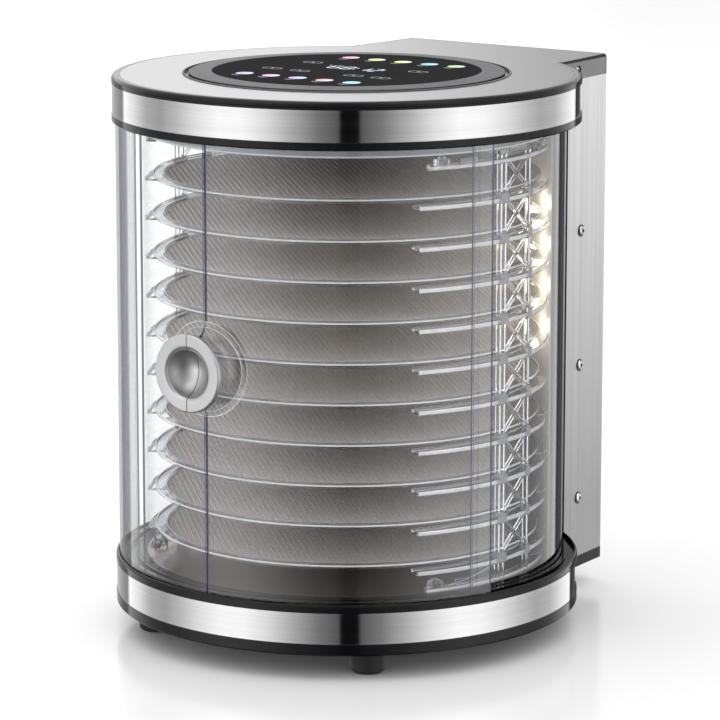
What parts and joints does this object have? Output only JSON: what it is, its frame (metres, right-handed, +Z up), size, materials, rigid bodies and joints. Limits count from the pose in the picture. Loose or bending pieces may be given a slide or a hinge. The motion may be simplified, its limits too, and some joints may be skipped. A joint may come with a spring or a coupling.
{
  "type": "food dehydrator",
  "caption": "Round food dehydrator: clear drum with curved sliding doors, a stack of mesh trays on a turning clear rack, touch control pod and a rear fan and heater housing.",
  "frame": {"origin": "on the drum's axis, on the surface that the feet stand on", "axes": "+Z up along the drum's axis, the doors face -Y, the rear housing is towards +Y, +X to the viewer's right when facing the doors"},
  "size_m": [0.3308, 0.3886, 0.3979],
  "materials": {
    "black_gloss": "glossy",
    "black_matte": "matte",
    "brushed_steel": "brushed",
    "liner_paint": "satin",
    "foot_rubber": "matte",
    "screw_steel": "polished",
    "motor_metal": "satin",
    "clear_panel": "clear",
    "clear_rack": "clear",
    "clear_rim": "clear",
    "woven_mesh": "woven",
    "turntable_metal": "polished",
    "fan_metal": "satin",
    "heater_mica": "matte",
    "heater_wire": "matte",
    "circuit_board": "satin",
    "led_lens": "clear",
    "probe_metal": "polished",
    "bezel_plastic": "satin",
    "panel_glass": "glossy",
    "grip_satin": "satin"
  },
  "bodies": {
    "housing": {"base_tub": "black_gloss", "base_band": "brushed_steel", "base_cover": "black_matte", "feet": "foot_rubber", "foot_screws": "screw_steel", "chamber_floor": "brushed_steel", "turntable_motor": "motor_metal", "rear_shell": "brushed_steel", "rear_vent": "black_matte", "housing_screws": "screw_steel", "left_post": "black_gloss", "right_post": "black_gloss", "left_window": "clear_panel", "right_window": "clear_panel", "rear_liner": "liner_paint", "fan_shroud": "brushed_steel", "fan_motor": "motor_metal", "heater_frame": "heater_mica", "heater_coil": "heater_wire", "power_board": "circuit_board", "power_inlet": "black_matte", "led_lenses": "led_lens", "temperature_probe": "probe_metal", "top_cap": "black_gloss", "top_plate": "brushed_steel", "top_band": "brushed_steel", "chamber_ceiling": "black_matte", "control_bezel": "bezel_plastic", "control_glass": "panel_glass", "control_board": "circuit_board"},
    "left_door": {"left_door": "clear_panel", "left_grip_cap": "grip_satin"},
    "right_door": {"right_door": "clear_panel", "right_grip_cap": "grip_satin"},
    "rack": {"turntable": "turntable_metal", "drive_shaft": "screw_steel", "left_rack_frame": "clear_rack", "right_rack_frame": "clear_rack", "rack_top_ring": "clear_rack"},
    "fan": {"fan_wheel": "fan_metal"},
    "tray_1": {"tray_rim_1": "clear_rim", "tray_mesh_1": "woven_mesh"},
    "tray_2": {"tray_rim_2": "clear_rim", "tray_mesh_2": "woven_mesh"},
    "tray_3": {"tray_rim_3": "clear_rim", "tray_mesh_3": "woven_mesh"},
    "tray_4": {"tray_rim_4": "clear_rim", "tray_mesh_4": "woven_mesh"},
    "tray_5": {"tray_rim_5": "clear_rim", "tray_mesh_5": "woven_mesh"},
    "tray_6": {"tray_rim_6": "clear_rim", "tray_mesh_6": "woven_mesh"},
    "tray_7": {"tray_rim_7": "clear_rim", "tray_mesh_7": "woven_mesh"},
    "tray_8": {"tray_rim_8": "clear_rim", "tray_mesh_8": "woven_mesh"},
    "tray_9": {"tray_rim_9": "clear_rim", "tray_mesh_9": "woven_mesh"},
    "tray_10": {"tray_rim_10": "clear_rim", "tray_mesh_10": "woven_mesh"}
  },
  "joints": [
    {"name": "left_door_slide", "type": "hinge", "parent": "housing", "child": "left_door", "pos_m": [0, 0, 0], "axis": [0, 0, -1], "range_deg": [0, 65]},
    {"name": "right_door_slide", "type": "hinge", "parent": "housing", "child": "right_door", "pos_m": [0, 0, 0], "axis": [0, 0, 1], "range_deg": [0, 65]},
    {"name": "rack_spin", "type": "hinge", "parent": "housing", "child": "rack", "pos_m": [0, 0, 0.0485], "axis": [0, 0, 1], "continuous": true},
    {"name": "fan_spin", "type": "hinge", "parent": "housing", "child": "fan", "pos_m": [0, 0.162, 0.208], "axis": [0, 1, 0], "continuous": true},
    {"name": "tray_1_slide", "type": "slide", "parent": "rack", "child": "tray_1", "axis": [0, -1, 0], "range_m": [0, 0.007]},
    {"name": "tray_2_slide", "type": "slide", "parent": "rack", "child": "tray_2", "axis": [0, -1, 0], "range_m": [0, 0.007]},
    {"name": "tray_3_slide", "type": "slide", "parent": "rack", "child": "tray_3", "axis": [0, -1, 0], "range_m": [0, 0.007]},
    {"name": "tray_4_slide", "type": "slide", "parent": "rack", "child": "tray_4", "axis": [0, -1, 0], "range_m": [0, 0.007]},
    {"name": "tray_5_slide", "type": "slide", "parent": "rack", "child": "tray_5", "axis": [0, -1, 0], "range_m": [0, 0.007]},
    {"name": "tray_6_slide", "type": "slide", "parent": "rack", "child": "tray_6", "axis": [0, -1, 0], "range_m": [0, 0.007]},
    {"name": "tray_7_slide", "type": "slide", "parent": "rack", "child": "tray_7", "axis": [0, -1, 0], "range_m": [0, 0.007]},
    {"name": "tray_8_slide", "type": "slide", "parent": "rack", "child": "tray_8", "axis": [0, -1, 0], "range_m": [0, 0.007]},
    {"name": "tray_9_slide", "type": "slide", "parent": "rack", "child": "tray_9", "axis": [0, -1, 0], "range_m": [0, 0.007]},
    {"name": "tray_10_slide", "type": "slide", "parent": "rack", "child": "tray_10", "axis": [0, -1, 0], "range_m": [0, 0.007]}
  ]
}
